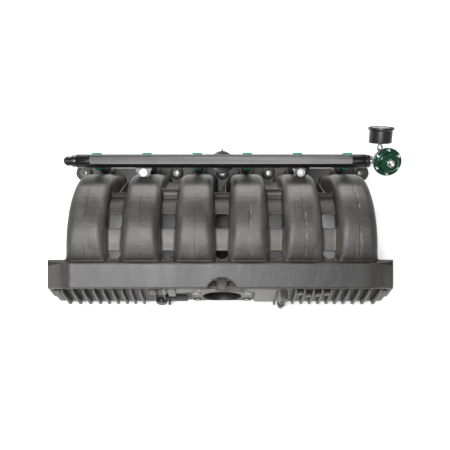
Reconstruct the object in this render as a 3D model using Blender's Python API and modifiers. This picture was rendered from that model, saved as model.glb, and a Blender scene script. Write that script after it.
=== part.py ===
"""Intake manifold of a straight-six engine with fuel rail, regulator and gauge.

Frame: +X along the crankshaft, +Z up as the part lies on a bench, origin at the centre of the
head flange's mating face. The flange leans back, so its own directions are S (up its slope)
and H (out of its face).
"""
import math

import bmesh
import bpy
from mathutils import Matrix, Vector

MM = 0.001
PITCH = 91.0 * MM
PORTS = [(i - 2.5) * PITCH for i in range(6)]
GAPS = [(i - 2.0) * PITCH for i in range(5)]
CLEAR = 0.4 * MM

FLANGE_TILT = math.radians(36.0)
FLANGE_THICK = 14.0 * MM
PORT_HALF_X = 27.0 * MM
PORT_HALF_S = 16.0 * MM
BOLT_S = 28.0 * MM
BOLT_XS = [-273.0 * MM, -91.0 * MM, 0.0, 91.0 * MM, 273.0 * MM]
SLEEVE_TOP = 25.0 * MM

BEND_R = 100.0 * MM
BEND_H = 80.0 * MM
RUNNER_WALL = 3.0 * MM

WALL = 3.5 * MM
SPLIT_Z = 62.0 * MM
BACK_Y = -205.0 * MM
FLOOR_Z = -17.0 * MM

END_SHIFT = -2.5
BORE_R = 34.0 * MM
THROTTLE = Matrix.Translation((0, -0.2465, 0.0190)) @ Matrix.Rotation(math.radians(99.5), 4, "X")
ARCH_PLACE = Matrix.Translation((0, -0.2623, 0.0722)) @ Matrix.Rotation(math.radians(30), 4, "X")
INSERT_X = 44.0 * MM
INSERT_Z = 25.0 * MM

RAIL_S = 49.2 * MM
RAIL_H = 124.9 * MM
RAIL_R = 12.0 * MM
RAIL_BORE_R = 7.0 * MM
RAIL_LEFT = -257.0 * MM
RAIL_RIGHT = 253.0 * MM
INJECTOR_LEAN = math.radians(11.3)

REG_X = 290.0 * MM
REG_LIFT = 4.0 * MM
REG_TILT = math.radians(46.0)
REG_R = 24.5 * MM
SCREW_RING = 20.8 * MM
GAUGE_X = -10.0 * MM
GAUGE_LEVEL = -12.0 * MM

MODEL = bpy.data.collections.new("intake_manifold")
CUTTERS = bpy.data.collections.new("cutters")


def clear_scene():
    for obj in list(bpy.data.objects):
        bpy.data.objects.remove(obj, do_unlink=True)
    bpy.context.scene.collection.children.link(MODEL)
    bpy.context.scene.collection.children.link(CUTTERS)
    CUTTERS.hide_render = True


def material(name, colour, roughness, metallic):
    mat = bpy.data.materials.new(name)
    mat.use_nodes = True
    shader = mat.node_tree.nodes["Principled BSDF"]
    shader.inputs["Base Color"].default_value = (*colour, 1.0)
    shader.inputs["Roughness"].default_value = roughness
    shader.inputs["Metallic"].default_value = metallic
    return mat


def put(name, mesh, mat, matrix=None):
    """A finished piece of the model."""
    obj = bpy.data.objects.new(name, mesh)
    MODEL.objects.link(obj)
    mesh.materials.clear()
    mesh.materials.append(mat)
    if matrix is not None:
        obj.matrix_world = matrix
    return obj


def boolean(obj, name, mesh, operation="DIFFERENCE"):
    """Cuts or joins a helper mesh given in the object's own frame."""
    helper = bpy.data.objects.new(name, mesh)
    CUTTERS.objects.link(helper)
    helper.hide_render = True
    helper.display_type = "WIRE"
    helper.matrix_world = obj.matrix_world.copy()
    mod = obj.modifiers.new(name, "BOOLEAN")
    mod.operation = operation
    mod.object = helper
    return mod


def mesh_of(bm, name):
    mesh = bpy.data.meshes.new(name)
    bmesh.ops.recalc_face_normals(bm, faces=bm.faces)
    bm.to_mesh(mesh)
    bm.free()
    return mesh


def boxes(name, spans):
    """One mesh of separate boxes, each given as its low and high corner."""
    bm = bmesh.new()
    for low, high in spans:
        low, high = Vector(low), Vector(high)
        size = high - low
        fit = Matrix.Translation((low + high) / 2) @ Matrix.Diagonal((*size, 1.0))
        bmesh.ops.create_cube(bm, size=1.0, matrix=fit)
    return mesh_of(bm, name)


def cylinders(name, radius, depth, places, sides=20, top_radius=None):
    """One mesh of separate cylinders, each centred and turned by its matrix."""
    bm = bmesh.new()
    for place in places:
        bmesh.ops.create_cone(
            bm,
            cap_ends=True,
            segments=sides,
            radius1=radius,
            radius2=radius if top_radius is None else top_radius,
            depth=depth,
            matrix=place,
        )
    return mesh_of(bm, name)


def plate(name, outline, half_thick):
    """A flat outline in XY filled and thickened along Z."""
    curve = bpy.data.curves.new(name, "CURVE")
    curve.dimensions = "2D"
    curve.fill_mode = "BOTH"
    curve.extrude = half_thick
    spline = curve.splines.new("POLY")
    spline.points.add(len(outline) - 1)
    for point, (x, y) in zip(spline.points, outline):
        point.co = (x, y, 0.0, 1.0)
    spline.use_cyclic_u = True
    holder = bpy.data.objects.new(name + "_outline", curve)
    CUTTERS.objects.link(holder)
    bpy.context.view_layer.update()
    graph = bpy.context.evaluated_depsgraph_get()
    mesh = bpy.data.meshes.new_from_object(holder.evaluated_get(graph))
    bpy.data.objects.remove(holder, do_unlink=True)
    bm = bmesh.new()
    bm.from_mesh(mesh)
    bmesh.ops.remove_doubles(bm, verts=bm.verts, dist=1e-6)
    bpy.data.meshes.remove(mesh)
    return mesh_of(bm, name)


def turned(name, profile, mat, matrix, steps=24):
    """A profile of (radius, height), outer side top to bottom, spun about Z."""
    bm = bmesh.new()
    verts = [bm.verts.new((r, 0.0, z)) for r, z in profile]
    for a, b in zip(verts, verts[1:]):
        bm.edges.new((a, b))
    mesh = bpy.data.meshes.new(name)
    bm.to_mesh(mesh)
    bm.free()
    obj = put(name, mesh, mat, matrix)
    mod = obj.modifiers.new("spin", "SCREW")
    mod.steps = steps
    mod.render_steps = steps
    mod.use_merge_vertices = True
    mod.merge_threshold = 0.00005
    return obj


def rounded_rectangle(a, b, r, per_corner=4):
    """Points of a rounded rectangle with half sides a and b, anticlockwise."""
    points = []
    for cx, cy, start in ((1, 1, 0), (-1, 1, 90), (-1, -1, 180), (1, -1, 270)):
        for k in range(per_corner):
            turn = math.radians(start + 90.0 * k / (per_corner - 1))
            x = cx * (a - r) + r * math.cos(turn)
            y = cy * (b - r) + r * math.sin(turn)
            points.append((x, y))
    return points


def along_y(x, y, z):
    """A matrix that lays a Z cylinder along Y at a point."""
    return Matrix.Translation((x, y, z)) @ Matrix.Rotation(math.radians(90), 4, "X")


def along_x(x, y, z):
    """A matrix that lays a Z cylinder along X at a point."""
    return Matrix.Translation((x, y, z)) @ Matrix.Rotation(math.radians(90), 4, "Y")


def flange_matrix(x, s, h):
    """The flange's own frame: X along it, Y up its slope, Z out of its face."""
    turn = Matrix.Rotation(FLANGE_TILT, 4, "X")
    return turn @ Matrix.Translation((x, s, h))


def flange_point(x, s, h):
    return flange_matrix(x, s, h).to_translation()


def yz_prism(name, points, half_length):
    """An outline of (y, z) points stretched along X to both sides."""
    mesh = plate(name, points, half_length)
    mesh.transform(Matrix(((0, 0, 1, 0), (1, 0, 0, 0), (0, 1, 0, 0), (0, 0, 0, 1))))
    return mesh


def xz_prism(name, points, half_depth, centre_y):
    """An outline of (x, z) points stretched along Y to both sides."""
    mesh = plate(name, points, half_depth)
    mesh.transform(Matrix(((1, 0, 0, 0), (0, 0, -1, centre_y), (0, 1, 0, 0), (0, 0, 0, 1))))
    return mesh


def both_sides(half):
    """An outline that mirrors (x, z) points given on the +X side from top to bottom."""
    return [(x, z) for x, z in half] + [(-x, z) for x, z in reversed(half)]


def face_prism(name, half):
    """An outline of (x, n) points in mm, n up from the plenum's sloping face, run along the slope."""
    mesh = plate(name, end_outline(half), 0.3)
    mesh.transform(Matrix.Rotation(math.radians(120), 4, "X"))
    return mesh


def end_outline(half):
    """Both ends of the plenum from (x, z) points in mm; the left end reaches a little further."""
    right = [((x + END_SHIFT) * MM, z * MM) for x, z in half]
    return right + [((END_SHIFT - x) * MM, z * MM) for x, z in reversed(half)]


def insert_places():
    places = []
    for sx in (-1, 1):
        for sy in (-1, 1):
            places.append(THROTTLE @ Matrix.Translation((sx * INSERT_X, sy * INSERT_Z, 0)))
    return places


def dome(name, low_radius, grow):
    """The leaning cone over the throat, from the throttle flange up under the arch."""
    low, high = Vector((0, -0.2455, 0.034)), Vector((0, -0.2420, 0.0675))
    axis = (high - low).normalized()
    turn = axis.to_track_quat("Z", "Y").to_matrix().to_4x4()
    place = Matrix.Translation((low + high) / 2) @ turn
    return cylinders(name, low_radius + grow, (high - low).length, [place], 32, 0.008 + grow)


def make_shells(nylon):
    top = [
        (BACK_Y, SPLIT_Z),
        (BACK_Y, 88 * MM),
        (-208 * MM, 91 * MM),
        (-214 * MM, 93 * MM),
        (-217 * MM, 97 * MM),
        (-219.5 * MM, 97 * MM),
        (-254 * MM, 77 * MM),
        (-254.5 * MM, 74.5 * MM),
        (-250 * MM, 69 * MM),
        (-249.5 * MM, SPLIT_Z),
    ]
    in_top = [
        (BACK_Y - WALL, SPLIT_Z - 5 * MM),
        (BACK_Y - WALL, 85.5 * MM),
        (-214 * MM, 89 * MM),
        (-219 * MM, 92 * MM),
        (-249 * MM, 74.5 * MM),
        (-246 * MM, 69 * MM),
        (-246 * MM, SPLIT_Z - 5 * MM),
    ]
    upper = put("upper_shell", yz_prism("upper_shell", top, 0.31), nylon)
    mesh = face_prism("upper_ends", [(232, 199.5), (287.5, 180.6), (291, 177), (291, 100)])
    boolean(upper, "upper_ends", mesh, "INTERSECT")
    hollow = bpy.data.objects.new("upper_hollow", yz_prism("upper_hollow", in_top, 0.31))
    CUTTERS.objects.link(hollow)
    hollow.hide_render = True
    hollow.display_type = "WIRE"
    mesh = face_prism("upper_hollow_ends", [(229, 195), (283, 175.7), (286.5, 172), (286.5, 90)])
    boolean(hollow, "upper_hollow_ends", mesh, "INTERSECT")
    mod = upper.modifiers.new("hollow", "BOOLEAN")
    mod.object = hollow
    hood = cylinders("arch_hood", 0.030, 0.024, [ARCH_PLACE @ Matrix.Translation((0, 0, -0.0125))], 40)
    shell = bpy.data.objects.new("arch_limits", yz_prism("arch_limits", top, 0.1))
    CUTTERS.objects.link(shell)
    shell.hide_render = True
    shell.display_type = "WIRE"
    boolean(shell, "arch_hood", hood, "INTERSECT")
    mod = upper.modifiers.new("arch_wall", "BOOLEAN")
    mod.operation = "UNION"
    mod.object = shell
    notch = cylinders("arch_notch", 0.026, 0.032, [ARCH_PLACE @ Matrix.Translation((0, 0, -0.005))], 40)
    boolean(upper, "arch_notch", notch)
    boolean(upper, "arch_seat", dome("arch_seat", 0.0160, 0.0006))
    spans = []
    for x in PORTS:
        spans.append(((x - 0.030, BACK_Y - 0.006, 0.0665), (x + 0.030, BACK_Y + 0.006, 0.0855)))
    boolean(upper, "runner_openings", boxes("runner_openings", spans))

    bottom = [
        (BACK_Y, SPLIT_Z - CLEAR),
        (-248.5 * MM, SPLIT_Z - CLEAR),
        (-246 * MM, 54 * MM),
        (-245 * MM, -4 * MM),
        (-240 * MM, -12 * MM),
        (-232 * MM, FLOOR_Z),
        (-222 * MM, FLOOR_Z),
        (BACK_Y, -2 * MM),
    ]
    in_bottom = [
        (BACK_Y - WALL, SPLIT_Z + 5 * MM),
        (-244.5 * MM, SPLIT_Z + 5 * MM),
        (-242.5 * MM, 54 * MM),
        (-241.5 * MM, -3 * MM),
        (-237.5 * MM, -9.5 * MM),
        (-230.5 * MM, FLOOR_Z + WALL),
        (-224 * MM, FLOOR_Z + WALL),
        (BACK_Y - WALL, 0.0),
    ]
    low_ends = [(288, 70), (291, 54), (291, 22), (275, 0), (268, -30)]
    in_low = [(284, 75), (287, 54), (287, 23.5), (271.5, 2.5), (264, -25)]
    lower = put("lower_shell", yz_prism("lower_shell", bottom, 0.31), nylon)
    mesh = xz_prism("lower_ends", end_outline(low_ends), 0.06, -0.23)
    boolean(lower, "lower_ends", mesh, "INTERSECT")
    ribs = []
    left = [-270, -252, -234, -216.5, -200.5, -184.6, -168.6, -153.9, -138.2]
    right = [125, 140, 155, 170, 185, 200, 215, 232, 249, 268]
    for x in left + right:
        ribs.append(((x * MM - 0.0015, -0.2535, -0.003), (x * MM + 0.0015, -0.2435, 0.059)))
    boolean(lower, "ribs", boxes("ribs", ribs), "UNION")
    elbow = [((0.0955, -0.2600, 0.0285), (0.1125, -0.2430, 0.0440))]
    boolean(lower, "union_elbow", boxes("union_elbow", elbow), "UNION")
    recess = [((-0.062, -0.27, -0.03), (0.062, -0.2385, 0.052))]
    boolean(lower, "throat_recess", boxes("throat_recess", recess))
    hollow = bpy.data.objects.new("lower_hollow", yz_prism("lower_hollow", in_bottom, 0.31))
    CUTTERS.objects.link(hollow)
    hollow.hide_render = True
    hollow.display_type = "WIRE"
    mesh = xz_prism("lower_hollow_ends", end_outline(in_low), 0.06, -0.23)
    boolean(hollow, "lower_hollow_ends", mesh, "INTERSECT")
    keep = [((-0.066, -0.27, -0.03), (0.066, -0.2350, 0.056))]
    boolean(hollow, "throat_wall", boxes("throat_wall", keep))
    mod = lower.modifiers.new("hollow", "BOOLEAN")
    mod.object = hollow
    place = THROTTLE @ Matrix.Translation((0, 0, -0.0085))
    boolean(lower, "throat", cylinders("throat", 0.0357, 0.013, [place], 48), "UNION")
    boolean(lower, "arch", dome("arch", 0.0160, 0.0), "UNION")
    outline = rounded_rectangle(0.053, 0.0345, 0.012, 5)
    face = plate("throttle_flange", outline, 0.003)
    face.transform(THROTTLE @ Matrix.Translation((0, 0, -0.003)))
    boolean(lower, "throttle_flange", face, "UNION")
    bore = cylinders("bore", BORE_R, 0.05, [THROTTLE @ Matrix.Translation((0, 0, -0.004))], 48)
    boolean(lower, "bore", bore)
    boolean(lower, "insert_holes", cylinders("insert_holes", 0.0045, 0.016, insert_places(), 16))
    return upper, lower


def make_inserts(brass):
    k = 0
    for sx in (-1, 1):
        for sz in (-1, 1):
            k += 1
            profile = [
                (0.0041, 0.0),
                (0.0041, -0.0075),
                (0.0025, -0.0075),
                (0.0025, 0.0),
                (0.0041, 0.0),
            ]
            place = THROTTLE @ Matrix.Translation((sx * INSERT_X, sz * INSERT_Z, 0))
            turned(f"throttle_insert_{k}", profile, brass, place, 12)


def injector_matrix(x):
    """An injector's frame: origin on the rail's axis, Z up along the injector."""
    lean = Matrix.Rotation(-INJECTOR_LEAN, 4, "X")
    return flange_matrix(x, RAIL_S, RAIL_H) @ lean


def make_flange(nylon, steel):
    body = []
    for x, s in (
        (291, 20),
        (293, 28),
        (291, 36),
        (285, 43),
        (273, 48),
        (262, 44),
        (252, 39),
        (208, 38),
        (154, 38),
        (148, 42),
    ):
        body.append((x * MM, s * MM))
    right = [(256 * MM, -28 * MM), (262 * MM, -10 * MM), (280 * MM, 8 * MM)] + body
    outline = right + [(-x, s) for x, s in reversed(right)]
    mesh = plate("head_flange", outline, FLANGE_THICK / 2)
    mesh.transform(Matrix.Translation((0, 0, FLANGE_THICK / 2)))
    flange = put("head_flange", mesh, nylon, flange_matrix(0, 0, 0))
    places = [Matrix.Translation((x, BOLT_S, 0.0155)) for x in BOLT_XS]
    boolean(flange, "bolt_bosses", cylinders("bolt_bosses", 0.0085, 0.019, places, 16), "UNION")
    inverse = flange.matrix_world.inverted()
    low = Matrix.Translation((0, 0, -0.101))
    places = [inverse @ injector_matrix(x) @ low for x in PORTS]
    mesh = cylinders("injector_bosses", 0.0105, 0.027, places, 16)
    boolean(flange, "injector_bosses", mesh, "UNION")
    spans = []
    for x in PORTS:
        low = (x - PORT_HALF_X, -PORT_HALF_S, -0.01)
        spans.append((low, (x + PORT_HALF_X, PORT_HALF_S, 0.05)))
    boolean(flange, "port_openings", boxes("port_openings", spans))
    spans = []
    for x in PORTS:
        low = (x - 0.0315, -0.0225, FLANGE_THICK)
        spans.append((low, (x + 0.0315, 0.0225, 0.05)))
    boolean(flange, "runner_seats", boxes("runner_seats", spans))
    places = [Matrix.Translation((x, BOLT_S, 0.015)) for x in BOLT_XS]
    boolean(flange, "bolt_holes", cylinders("bolt_holes", 0.0062, 0.05, places, 16))
    down = Matrix.Translation((0, 0, -0.0915))
    places = [inverse @ injector_matrix(x) @ down for x in PORTS]
    mesh = cylinders("injector_sockets", 0.0072, 0.017, places, 16)
    boolean(flange, "injector_sockets", mesh)
    for k, x in enumerate(BOLT_XS, 1):
        profile = [
            (0.0058, SLEEVE_TOP),
            (0.0058, 0.0003),
            (0.0044, 0.0003),
            (0.0044, SLEEVE_TOP),
            (0.0058, SLEEVE_TOP),
        ]
        turned(f"bolt_sleeve_{k}", profile, steel, flange_matrix(x, BOLT_S, 0), 16)


def runner_stations():
    """Centre (y, z), direction angle, half width, half height and corner radius."""
    out = FLANGE_TILT + math.radians(90)
    stations = []
    for h, a, b, r in ((14.4, 30, 19, 8), (48, 29, 22, 12), (80, 29, 23.5, 16)):
        point = flange_point(0, 0, h * MM)
        stations.append((point.y, point.z, out, a * MM, b * MM, r * MM))
    centre = flange_point(0, -BEND_R, BEND_H)
    for turn, a, b in ((16, 30, 24), (32, 31.5, 25.5), (50, 33, 26), (68, 33, 25), (84, 33.5, 23)):
        angle = FLANGE_TILT + math.radians(turn)
        y = centre.y + BEND_R * math.cos(angle)
        z = centre.z + BEND_R * math.sin(angle)
        stations.append((y, z, angle + math.radians(90), a * MM, b * MM, 18 * MM))
    end = (BACK_Y + 1.6 * MM, 80.5 * MM, math.radians(180), 34.5 * MM, 16.5 * MM, 10 * MM)
    stations.append(end)
    return stations


def make_runners(nylon):
    for k, x in enumerate(PORTS, 1):
        bm = bmesh.new()
        rings = []
        for y, z, angle, a, b, r in runner_stations():
            up = Vector((0, -math.sin(angle), math.cos(angle)))
            if up.z < 0 or (abs(up.z) < 0.75 and up.y < 0):
                up = -up
            ring = []
            for px, ph in rounded_rectangle(a, b, min(r, b - 0.0005), 4):
                ring.append(bm.verts.new(Vector((px, y, z)) + up * ph))
            rings.append(ring)
        for one, two in zip(rings, rings[1:]):
            for i in range(len(one)):
                j = (i + 1) % len(one)
                bm.faces.new((one[i], one[j], two[j], two[i]))
        mesh = mesh_of(bm, f"runner_{k}")
        obj = put(f"runner_{k}", mesh, nylon, Matrix.Translation((x, 0, 0)))
        mod = obj.modifiers.new("wall", "SOLIDIFY")
        mod.thickness = RUNNER_WALL
        mod.offset = -1.0


def make_webs(nylon):
    centre = flange_point(0, -BEND_R, BEND_H)
    for k, x in enumerate(GAPS, 1):
        outer, inner = [], []
        for turn, half in ((26, 8), (30, 8), (31, 2), (44, 2), (57, 2), (70, 2), (84, 2)):
            angle = FLANGE_TILT + math.radians(turn)
            for radius, side in ((BEND_R + half * MM, outer), (BEND_R - half * MM, inner)):
                y = centre.y + radius * math.cos(angle)
                side.append((y, centre.z + radius * math.sin(angle)))
        outer.append((BACK_Y + CLEAR, 0.0905))
        inner.append((BACK_Y + CLEAR, 0.0865))
        mesh = yz_prism(f"web_{k}", outer + inner[::-1], 0.0102)
        obj = put(f"web_{k}", mesh, nylon, Matrix.Translation((x, 0, 0)))
        spans = [
            ((-0.0075, -0.154, 0.07), (0.0075, -0.128, 0.13)),
            ((-0.0075, -0.202, 0.07), (0.0075, -0.190, 0.13)),
        ]
        boolean(obj, f"web_windows_{k}", boxes(f"web_windows_{k}", spans))


def make_rail(black, silver):
    axis = flange_point(0, RAIL_S, RAIL_H)
    place = along_x(0, axis.y, axis.z)
    length = RAIL_RIGHT - RAIL_LEFT
    middle = (RAIL_RIGHT + RAIL_LEFT) / 2
    bm_places = [Matrix.Translation((0, 0, middle))]
    rail = put("fuel_rail", cylinders("fuel_rail", RAIL_R, length, bm_places, 24), black, place)
    inverse = rail.matrix_world.inverted()
    view = Matrix.Translation((0, axis.y, axis.z)) @ Matrix.Rotation(math.radians(30), 4, "X")
    flat = boxes("rail_flat", [((-0.234, -0.02, 0.0102), (0.230, 0.02, 0.02))])
    flat.transform(inverse @ view)
    boolean(rail, "rail_flat", flat)
    mesh = cylinders("rail_bore", RAIL_BORE_R, length + 0.02, bm_places, 20)
    boolean(rail, "rail_bore", mesh)
    down = Matrix.Translation((0, 0, -0.010))
    places = [inverse @ injector_matrix(x) @ down for x in PORTS]
    boolean(rail, "injector_cups", cylinders("injector_cups", 0.0062, 0.014, places, 16))
    fitting = [
        (0.0080, -0.0222),
        (0.0080, -0.0085),
        (0.0104, -0.0082),
        (0.0104, -0.0003),
        (0.0066, -0.0003),
        (0.0066, 0.0100),
        (0.0045, 0.0100),
        (0.0045, -0.0222),
        (0.0080, -0.0222),
    ]
    matrix = along_x(RAIL_LEFT, axis.y, axis.z)
    turned("inlet_fitting", fitting[::-1], black, matrix, 24)
    collar = [
        (0.0112, 0.0075),
        (0.0112, 0.0003),
        (0.0066, 0.0003),
        (0.0066, -0.0100),
        (0.0045, -0.0100),
        (0.0045, 0.0075),
        (0.0112, 0.0075),
    ]
    matrix = along_x(RAIL_RIGHT, axis.y, axis.z)
    turned("outlet_collar", collar, black, matrix, 24)
    adapter = [
        (0.0095, 0.0120),
        (0.0095, 0.0078),
        (0.0042, 0.0078),
        (0.0042, -0.0050),
        (0.0028, -0.0050),
        (0.0028, 0.0240),
        (0.0055, 0.0240),
        (0.0055, 0.0120),
        (0.0095, 0.0120),
    ]
    turned("regulator_adapter", adapter, silver, matrix, 20)


def make_brackets(silver, black):
    for name, x in (("left", -0.1415), ("right", 0.1415)):
        outline = []
        for px, ps in ((16, 42), (-16, 42), (-16, 36), (-9, 21), (9, 21), (16, 36)):
            outline.append((px * MM, ps * MM))
        mesh = plate(f"rail_bracket_{name}", outline, 0.0015)
        place = flange_matrix(x, 0, 0.1135)
        obj = put(f"rail_bracket_{name}", mesh, silver if name == "left" else black, place)
        inside = obj.matrix_world.inverted()
        hole = Matrix.Translation((0, 0.0290, 0))
        boolean(obj, f"bracket_hole_{name}", cylinders("hole", 0.0034, 0.01, [hole], 16))
        near = inside @ injector_matrix(-0.1365 if x < 0 else 0.1365)
        clear = cylinders("injector_clearance", 0.0100, 0.08, [near], 20)
        boolean(obj, f"bracket_notch_{name}", clear)
        bolt = [
            (0.0070, 0.0065),
            (0.0070, 0.0018),
            (0.0030, 0.0018),
            (0.0030, -0.0060),
            (0.0, -0.0060),
        ]
        matrix = flange_matrix(x, 0.0290, 0.1135)
        head = [(0.0, 0.0065)] + bolt
        turned(f"bracket_bolt_{name}", head, silver, matrix, 12)


def make_injectors(green):
    for k, x in enumerate(PORTS, 1):
        profile = [
            (0.0, -0.0078),
            (0.0058, -0.0078),
            (0.0058, -0.0145),
            (0.0095, -0.0150),
            (0.0095, -0.0320),
            (0.0085, -0.0325),
            (0.0085, -0.0460),
            (0.0066, -0.0480),
            (0.0066, -0.0980),
            (0.0, -0.0980),
        ]
        obj = turned(f"injector_{k}", profile, green, injector_matrix(x), 16)
        mesh = boxes("connector", [((-0.0085, 0.0, -0.006), (0.0085, 0.0195, 0.006))])
        mesh.transform(Matrix.Translation((0, 0, -0.0225)))
        boolean(obj, f"connector_{k}", mesh, "UNION")


def make_damper(black):
    place = flange_matrix(0, RAIL_S - 0.002, RAIL_H - 0.0325) @ Matrix.Identity(4)
    profile = [
        (0.0, 0.0190),
        (0.0100, 0.0190),
        (0.0100, 0.0150),
        (0.0208, 0.0140),
        (0.0208, 0.0020),
        (0.0120, 0.0),
        (0.0120, -0.0060),
        (0.0, -0.0060),
    ]
    turned("pulse_damper", profile, black, place, 24)


def regulator_matrix():
    axis = flange_point(0, RAIL_S, RAIL_H)
    place = Matrix.Translation((REG_X, axis.y, axis.z)) @ Matrix.Rotation(REG_TILT, 4, "X")
    return place @ Matrix.Translation((0, 0, REG_LIFT))


def make_regulator(green, steel, black, rubber):
    base = regulator_matrix()
    body = [
        (0.0245, 0.0046),
        (0.0245, 0.0024),
        (0.0170, 0.0024),
        (0.0170, -0.0240),
        (0.0150, -0.0260),
        (0.0050, -0.0260),
        (0.0050, -0.0100),
        (0.0130, -0.0060),
        (0.0130, 0.0046),
        (0.0245, 0.0046),
    ]
    body = turned("regulator_body", body, steel, base, 24)
    side = cylinders("inlet_port", 0.0059, 0.02, [along_x(-0.0178, 0, -REG_LIFT)], 16)
    boolean(body, "inlet_port", side)
    turn = Matrix.Rotation(math.radians(-90), 4, "X")
    port = cylinders(
        "gauge_port", 0.0040, 0.02, [Matrix.Translation((GAUGE_X, 0.012, GAUGE_LEVEL)) @ turn], 16
    )
    boolean(body, "gauge_port", port)
    bonnet = [
        (0.0150, 0.0220),
        (0.0160, 0.0205),
        (0.0160, 0.0086),
        (0.0245, 0.0080),
        (0.0245, 0.0050),
        (0.0120, 0.0050),
        (0.0120, 0.0190),
        (0.0043, 0.0190),
        (0.0043, 0.0220),
        (0.0150, 0.0220),
    ]
    bonnet = turned("regulator_bonnet", bonnet, green, base, 24)
    spots = []
    for k in range(6):
        turn = math.radians(30 + 60 * k)
        spots.append((SCREW_RING * math.cos(turn), SCREW_RING * math.sin(turn)))
    holes = [Matrix.Translation((x, y, 0.0065)) for x, y in spots]
    boolean(bonnet, "screw_holes", cylinders("screw_holes", 0.0017, 0.01, holes, 10))
    holes = [Matrix.Translation((x, y, 0.0035)) for x, y in spots]
    boolean(body, "screw_threads", cylinders("screw_threads", 0.0017, 0.01, holes, 10))
    for k, (x, y) in enumerate(spots, 1):
        screw = [(0.0, 0.0), (0.0028, 0.0), (0.0028, -0.0025), (0.0014, -0.0025)]
        screw += [(0.0014, -0.0075), (0.0, -0.0075)]
        turned(f"bonnet_screw_{k}", screw, steel, base @ Matrix.Translation((x, y, 0.011)), 12)
    disc = [
        (0.0, 0.0042),
        (0.0126, 0.0042),
        (0.0126, 0.0030),
        (0.0035, 0.0020),
        (0.0035, -0.0060),
        (0.0, -0.0060),
    ]
    turned("regulator_diaphragm", disc, rubber, base, 20)
    seat = [(0.0, 0.0020), (0.0100, 0.0020), (0.0100, 0.0), (0.0, 0.0)]
    turned("spring_seat", seat, steel, base @ Matrix.Translation((0, 0, 0.0145)), 16)
    screw = [(0.0, 0.0175), (0.0040, 0.0175), (0.0040, 0.0), (0.0, 0.0)]
    place = base @ Matrix.Translation((0, 0, 0.0168))
    screw = turned("adjusting_screw", screw, steel, place, 16)
    hexagon = cylinders("hex_key", 0.0022, 0.008, [Matrix.Translation((0, 0, 0.0175))], 6)
    boolean(screw, "hex_key", hexagon)
    mesh = cylinders("jam_nut", 0.0072, 0.0048, [Matrix.Identity(4)], 6)
    nut = put("jam_nut", mesh, steel, base @ Matrix.Translation((0, 0, 0.0247)))
    boolean(nut, "nut_hole", cylinders("nut_hole", 0.0043, 0.01, [Matrix.Identity(4)], 16))
    coil = bpy.data.curves.new("regulator_spring", "CURVE")
    coil.dimensions = "3D"
    coil.bevel_depth = 0.0008
    coil.bevel_resolution = 1
    coil.use_fill_caps = True
    coil.materials.append(steel)
    turns, per_turn = 3, 12
    low, high = 0.0054, 0.0134
    spline = coil.splines.new("POLY")
    spline.points.add(turns * per_turn)
    for i, point in enumerate(spline.points):
        turn = 2 * math.pi * i / per_turn
        rise = low + (high - low) * i / (turns * per_turn)
        point.co = (0.0085 * math.cos(turn), 0.0085 * math.sin(turn), rise, 1.0)
    spring = bpy.data.objects.new("regulator_spring", coil)
    MODEL.objects.link(spring)
    spring.matrix_world = base


def gauge_matrix():
    """The gauge's frame: Z along its stem, away from the regulator."""
    turn = Matrix.Rotation(math.radians(-90), 4, "X")
    return regulator_matrix() @ Matrix.Translation((GAUGE_X, 0, GAUGE_LEVEL)) @ turn


def make_gauge(black, silver, white, glass, red):
    base = gauge_matrix()
    stem = [(0.0, 0.0330), (0.0045, 0.0330), (0.0045, 0.0280), (0.0062, 0.0275)]
    stem += [(0.0062, 0.0190), (0.0036, 0.0185), (0.0036, 0.0080), (0.0, 0.0080)]
    turned("gauge_stem", stem, silver, base, 12)
    case = [
        (0.0226, 0.0586),
        (0.0226, 0.0545),
        (0.0200, 0.0535),
        (0.0200, 0.0320),
        (0.0190, 0.0310),
        (0.0049, 0.0310),
        (0.0049, 0.0340),
        (0.0180, 0.0340),
        (0.0180, 0.0560),
        (0.0212, 0.0560),
        (0.0212, 0.0586),
        (0.0226, 0.0586),
    ]
    turned("gauge_case", case, black, base, 24)
    dial = [(0.0, 0.0512), (0.0176, 0.0512), (0.0176, 0.0500), (0.0, 0.0500)]
    turned("gauge_dial", dial, white, base, 24)
    lens = [(0.0, 0.0580), (0.0208, 0.0580), (0.0208, 0.0564), (0.0, 0.0564)]
    turned("gauge_lens", lens, glass, base, 24)
    outline = [(-0.0012, -0.005), (0.0012, -0.005), (0.0008, 0.0005), (0.0003, 0.0135)]
    outline += [(-0.0003, 0.0135), (-0.0008, 0.0005)]
    mesh = plate("gauge_needle", outline, 0.0003)
    rest = Matrix.Rotation(math.radians(135), 4, "Z")
    put("gauge_needle", mesh, red, base @ Matrix.Translation((0, 0, 0.0530)) @ rest)


def make_small_parts(black, brass):
    """A ringed hose union that stands along the front wall, and a sensor plug near its foot."""
    union = [(0.0, 0.034), (0.0050, 0.034), (0.0068, 0.031), (0.0068, 0.024), (0.0055, 0.024)]
    union += [(0.0055, 0.016), (0.0068, 0.016), (0.0068, 0.010), (0.0055, 0.010)]
    union += [(0.0055, 0.0), (0.0, 0.0)]
    place = Matrix.Translation((0.104, -0.2535, -0.006))
    turned("vacuum_nipple", union, brass, place, 20)
    plug = [(0.0, 0.0085), (0.0075, 0.0085), (0.0098, 0.0060), (0.0098, 0.0), (0.0, 0.0)]
    turned("sensor_plug", plug, black, along_y(-0.107, -0.2459, 0.0065), 24)


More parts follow.
